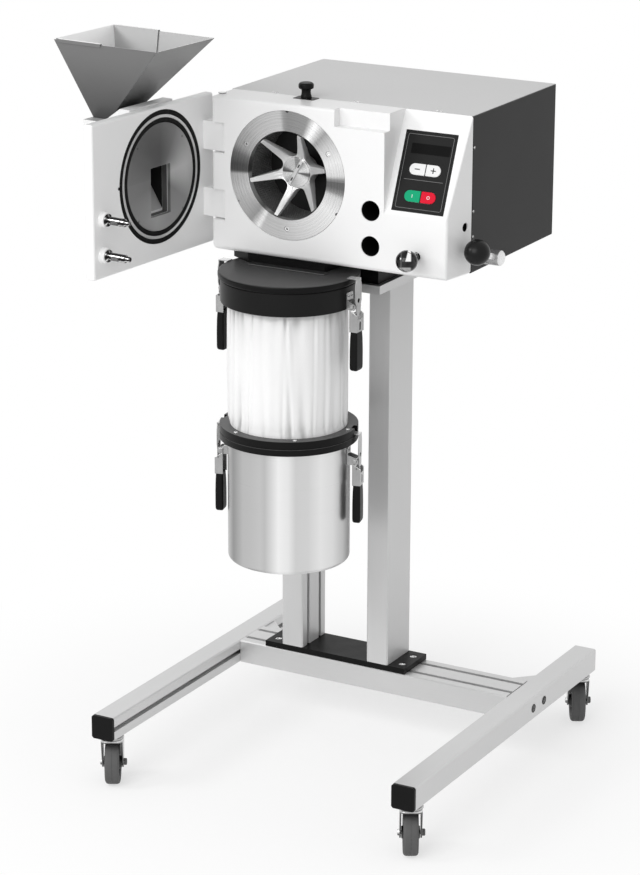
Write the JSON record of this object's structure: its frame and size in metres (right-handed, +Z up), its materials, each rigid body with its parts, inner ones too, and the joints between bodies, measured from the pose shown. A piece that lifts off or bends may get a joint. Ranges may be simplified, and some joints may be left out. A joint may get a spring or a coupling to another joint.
{
  "type": "rotor mill",
  "caption": "Rotor mill on a wheeled profile stand, door with feed hopper swung open, filter bag and collecting vessel below.",
  "frame": {"origin": "on the floor, in the middle of the footprint", "axes": "+Z up, +X to the operator's right, +Y away from the operator"},
  "size_m": [0.6826, 0.723, 1.2113],
  "materials": {
    "anodised_profile": "natural anodised, satin",
    "black_plate": "black powder coat",
    "black_plastic": "moulded black",
    "aluminium_plate": "milled, satin",
    "zinc_steel": "zinc plated",
    "grey_tyre": "smooth grey-black",
    "white_enamel": "white enamel, half gloss",
    "grey_hood": "grey fine-texture paint",
    "steel": "turned stainless steel",
    "polished_steel": "polished stainless steel",
    "motor_grey": "painted casting",
    "keypad_membrane": "dark blue-grey foil",
    "white_key": "white",
    "green_key": "green",
    "red_key": "red",
    "seal_rubber": "black",
    "hopper_sheet": "brushed stainless sheet",
    "filter_cloth": "white woven filter cloth"
  },
  "bodies": {
    "stand": {"base_plate": "black_plate", "chamber": "steel", "column_left": "anodised_profile", "column_right": "anodised_profile", "cross_beam": "anodised_profile", "filter_bag": "filter_cloth", "flange_ring": "black_plate", "front_casting": "white_enamel", "hinge_pin": "zinc_steel", "housing_cover": "grey_hood", "keypad_panel": "keypad_membrane", "leg_cap_left": "black_plastic", "leg_cap_right": "black_plastic", "leg_left": "anodised_profile", "leg_right": "anodised_profile", "lid_collar": "black_plate", "lid_plate": "black_plate", "mill_ring": "steel", "motor": "motor_grey", "mount_plate": "aluminium_plate", "outlet_duct": "black_plate", "rear_panel": "grey_hood", "ring_sieve": "steel", "support_frame": "black_plate", "vessel": "polished_steel"},
    "door": {"door_panel": "white_enamel", "outer_seal": "seal_rubber", "inner_seal": "seal_rubber", "feed_disc": "steel", "lock_pin_upper": "polished_steel", "lock_pin_lower": "polished_steel", "feed_chute": "white_enamel", "hopper": "hopper_sheet", "hopper_insert": "hopper_sheet"},
    "rotor": {"rotor": "polished_steel", "drive_shaft": "polished_steel"},
    "side_lever": {"lever_arm": "zinc_steel", "lever_ball": "black_plastic"},
    "index_plunger": {"index_plunger": "black_plastic"},
    "pull_knob": {"pull_knob": "polished_steel"},
    "key_minus": {"key_minus": "white_key"},
    "key_plus": {"key_plus": "white_key"},
    "key_start": {"key_start": "green_key"},
    "key_stop": {"key_stop": "red_key"},
    "caster_front_left": {"caster_fork_front_left": "zinc_steel"},
    "wheel_front_left": {"caster_wheel_front_left": "grey_tyre"},
    "caster_front_right": {"caster_fork_front_right": "zinc_steel"},
    "wheel_front_right": {"caster_wheel_front_right": "grey_tyre"},
    "caster_rear_left": {"caster_fork_rear_left": "zinc_steel"},
    "wheel_rear_left": {"caster_wheel_rear_left": "grey_tyre"},
    "caster_rear_right": {"caster_fork_rear_right": "zinc_steel"},
    "wheel_rear_right": {"caster_wheel_rear_right": "grey_tyre"},
    "latch_lid_left": {"latch_lever_lid_left": "zinc_steel"},
    "hook_lid_left": {"latch_hook_lid_left": "zinc_steel"},
    "latch_lid_right": {"latch_lever_lid_right": "zinc_steel"},
    "hook_lid_right": {"latch_hook_lid_right": "zinc_steel"},
    "latch_vessel_left": {"latch_lever_vessel_left": "zinc_steel"},
    "hook_vessel_left": {"latch_hook_vessel_left": "zinc_steel"},
    "latch_vessel_right": {"latch_lever_vessel_right": "zinc_steel"},
    "hook_vessel_right": {"latch_hook_vessel_right": "zinc_steel"}
  },
  "joints": [
    {"name": "door_hinge", "type": "hinge", "parent": "stand", "child": "door", "pos_m": [-0.15452, -0.06154, 0.86268], "axis": [0, 0, 1], "range_deg": [-15, 94.4]},
    {"name": "rotor_spin", "type": "hinge", "parent": "stand", "child": "rotor", "pos_m": [-0.02322, -0.05504, 0.99698], "axis": [0, -1, 0], "continuous": true},
    {"name": "side_lever_turn", "type": "hinge", "parent": "stand", "child": "side_lever", "pos_m": [0.26738, 0.01706, 0.88318], "axis": [1, 0, 0], "range_deg": [0, 90]},
    {"name": "plunger_lift", "type": "slide", "parent": "stand", "child": "index_plunger", "axis": [0, 0, 1], "range_m": [0, 0.008], "stiffness_N_per_m": 400},
    {"name": "pull_knob_slide", "type": "slide", "parent": "stand", "child": "pull_knob", "axis": [0, -1, 0], "range_m": [0, 0.012], "stiffness_N_per_m": 600},
    {"name": "key_minus_press", "type": "slide", "parent": "stand", "child": "key_minus", "axis": [0, 0.9228, -0.3853], "range_m": [0, 0.0008], "stiffness_N_per_m": 900},
    {"name": "key_plus_press", "type": "slide", "parent": "stand", "child": "key_plus", "axis": [0, 0.9228, -0.3853], "range_m": [0, 0.0008], "stiffness_N_per_m": 900},
    {"name": "key_start_press", "type": "slide", "parent": "stand", "child": "key_start", "axis": [0, 0.9228, -0.3853], "range_m": [0, 0.0008], "stiffness_N_per_m": 900},
    {"name": "key_stop_press", "type": "slide", "parent": "stand", "child": "key_stop", "axis": [0, 0.9228, -0.3853], "range_m": [0, 0.0008], "stiffness_N_per_m": 900},
    {"name": "swivel_front_left", "type": "hinge", "parent": "stand", "child": "caster_front_left", "pos_m": [-0.22772, -0.29954, 0.09008], "axis": [0, 0, 1], "continuous": true},
    {"name": "axle_front_left", "type": "hinge", "parent": "caster_front_left", "child": "wheel_front_left", "pos_m": [-0.23357, -0.28906, 0.03678], "axis": [0.8729, 0.4879, 0], "continuous": true},
    {"name": "swivel_front_right", "type": "hinge", "parent": "stand", "child": "caster_front_right", "pos_m": [0.32028, -0.29954, 0.09008], "axis": [0, 0, 1], "continuous": true},
    {"name": "axle_front_right", "type": "hinge", "parent": "caster_front_right", "child": "wheel_front_right", "pos_m": [0.31443, -0.28906, 0.03678], "axis": [0.8729, 0.4879, 0], "continuous": true},
    {"name": "swivel_rear_left", "type": "hinge", "parent": "stand", "child": "caster_rear_left", "pos_m": [-0.22772, 0.31546, 0.09008], "axis": [0, 0, 1], "continuous": true},
    {"name": "axle_rear_left", "type": "hinge", "parent": "caster_rear_left", "child": "wheel_rear_left", "pos_m": [-0.23357, 0.32594, 0.03678], "axis": [0.8729, 0.4879, 0], "continuous": true},
    {"name": "swivel_rear_right", "type": "hinge", "parent": "stand", "child": "caster_rear_right", "pos_m": [0.32028, 0.31546, 0.09008], "axis": [0, 0, 1], "continuous": true},
    {"name": "axle_rear_right", "type": "hinge", "parent": "caster_rear_right", "child": "wheel_rear_right", "pos_m": [0.31443, 0.32594, 0.03678], "axis": [0.8729, 0.4879, 0], "continuous": true},
    {"name": "latch_lid_left_lever", "type": "hinge", "parent": "stand", "child": "latch_lid_left", "pos_m": [-0.14022, -0.08284, 0.80218], "axis": [0, 1, 0], "range_deg": [0, 90]},
    {"name": "latch_lid_left_hook", "type": "hinge", "parent": "latch_lid_left", "child": "hook_lid_left", "pos_m": [-0.14342, -0.08284, 0.79118], "axis": [0, 1, 0], "range_deg": [-90, 0]},
    {"name": "latch_lid_right_lever", "type": "hinge", "parent": "stand", "child": "latch_lid_right", "pos_m": [0.09778, -0.08284, 0.80218], "axis": [0, -1, 0], "range_deg": [0, 90]},
    {"name": "latch_lid_right_hook", "type": "hinge", "parent": "latch_lid_right", "child": "hook_lid_right", "pos_m": [0.10098, -0.08284, 0.79118], "axis": [0, -1, 0], "range_deg": [-90, 0]},
    {"name": "latch_vessel_left_lever", "type": "hinge", "parent": "stand", "child": "latch_vessel_left", "pos_m": [-0.12989, -0.10993, 0.54008], "axis": [-0.2419, 0.9703, 0], "range_deg": [0, 90]},
    {"name": "latch_vessel_left_hook", "type": "hinge", "parent": "latch_vessel_left", "child": "hook_vessel_left", "pos_m": [-0.133, -0.11071, 0.52908], "axis": [-0.2419, 0.9703, 0], "range_deg": [-90, 0]},
    {"name": "latch_vessel_right_lever", "type": "hinge", "parent": "stand", "child": "latch_vessel_right", "pos_m": [0.08746, -0.05574, 0.54008], "axis": [0.2419, -0.9703, 0], "range_deg": [0, 90]},
    {"name": "latch_vessel_right_hook", "type": "hinge", "parent": "latch_vessel_right", "child": "hook_vessel_right", "pos_m": [0.09056, -0.05497, 0.52908], "axis": [0.2419, -0.9703, 0], "range_deg": [-90, 0]}
  ],
  "couplings": [
    {"joint": "latch_lid_left_hook", "follows": "latch_lid_left_lever", "ratio": -1},
    {"joint": "latch_lid_right_hook", "follows": "latch_lid_right_lever", "ratio": -1},
    {"joint": "latch_vessel_left_hook", "follows": "latch_vessel_left_lever", "ratio": -1},
    {"joint": "latch_vessel_right_hook", "follows": "latch_vessel_right_lever", "ratio": -1}
  ]
}
